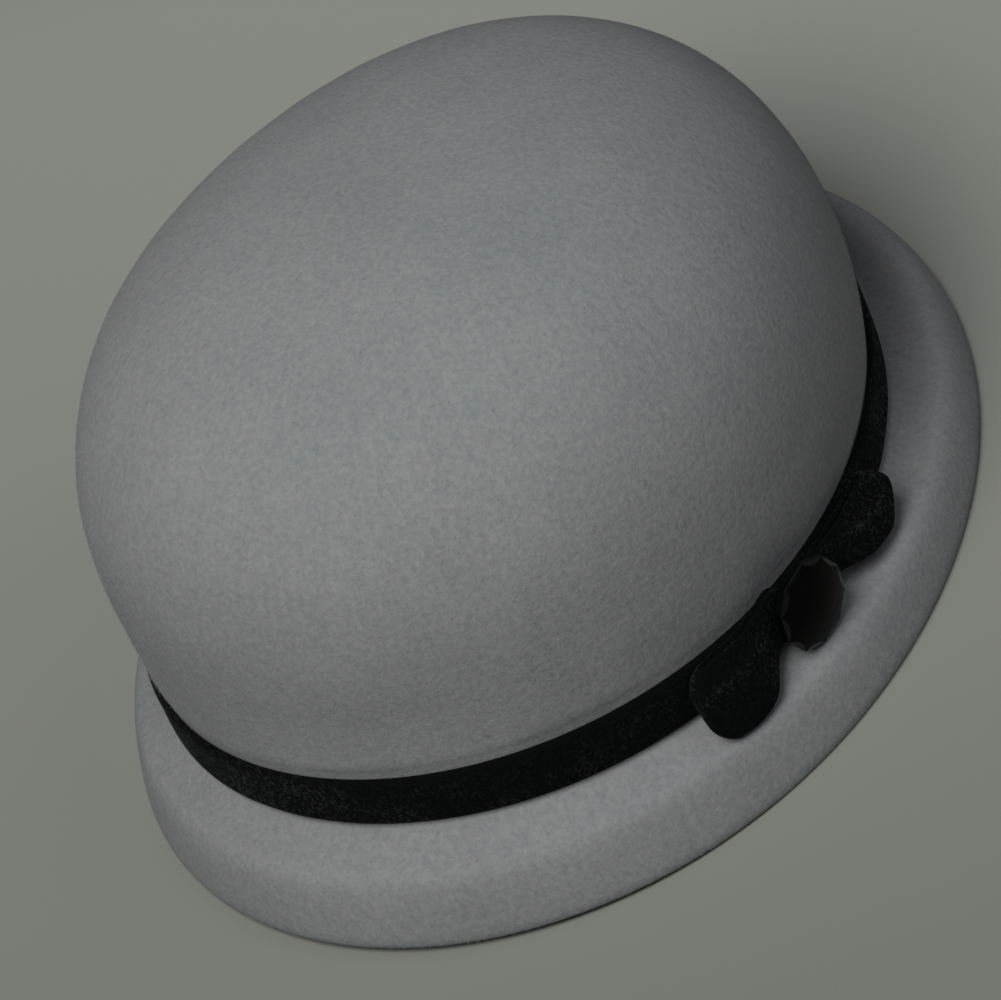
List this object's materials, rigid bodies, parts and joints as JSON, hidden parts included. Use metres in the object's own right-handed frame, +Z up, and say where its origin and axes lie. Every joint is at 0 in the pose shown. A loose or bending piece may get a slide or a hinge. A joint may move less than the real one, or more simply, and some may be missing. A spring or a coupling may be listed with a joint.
{
  "type": "cloche hat",
  "caption": "Felt cloche hat with a rounded crown, a velvet ribbon band and a flat bow under a faceted button; worn on the head, it rests on its rim.",
  "frame": {"origin": "on the floor, under the middle of the rim", "axes": "+Z up through the crown, -Y to the front of the hat, -X to the wearer's right, where the bow is"},
  "size_m": [0.197, 0.2394, 0.1189],
  "materials": {
    "felt": "blue-grey velour felt with a short soft nap",
    "velvet": "black velvet ribbon with a dark green sheen",
    "jet": "polished black, cut in facets"
  },
  "bodies": {
    "root": {"felt_body": "felt", "velvet_band": "velvet", "bow_loop_back": "velvet", "bow_loop_front": "velvet", "bow_button": "jet"}
  },
  "joints": []
}
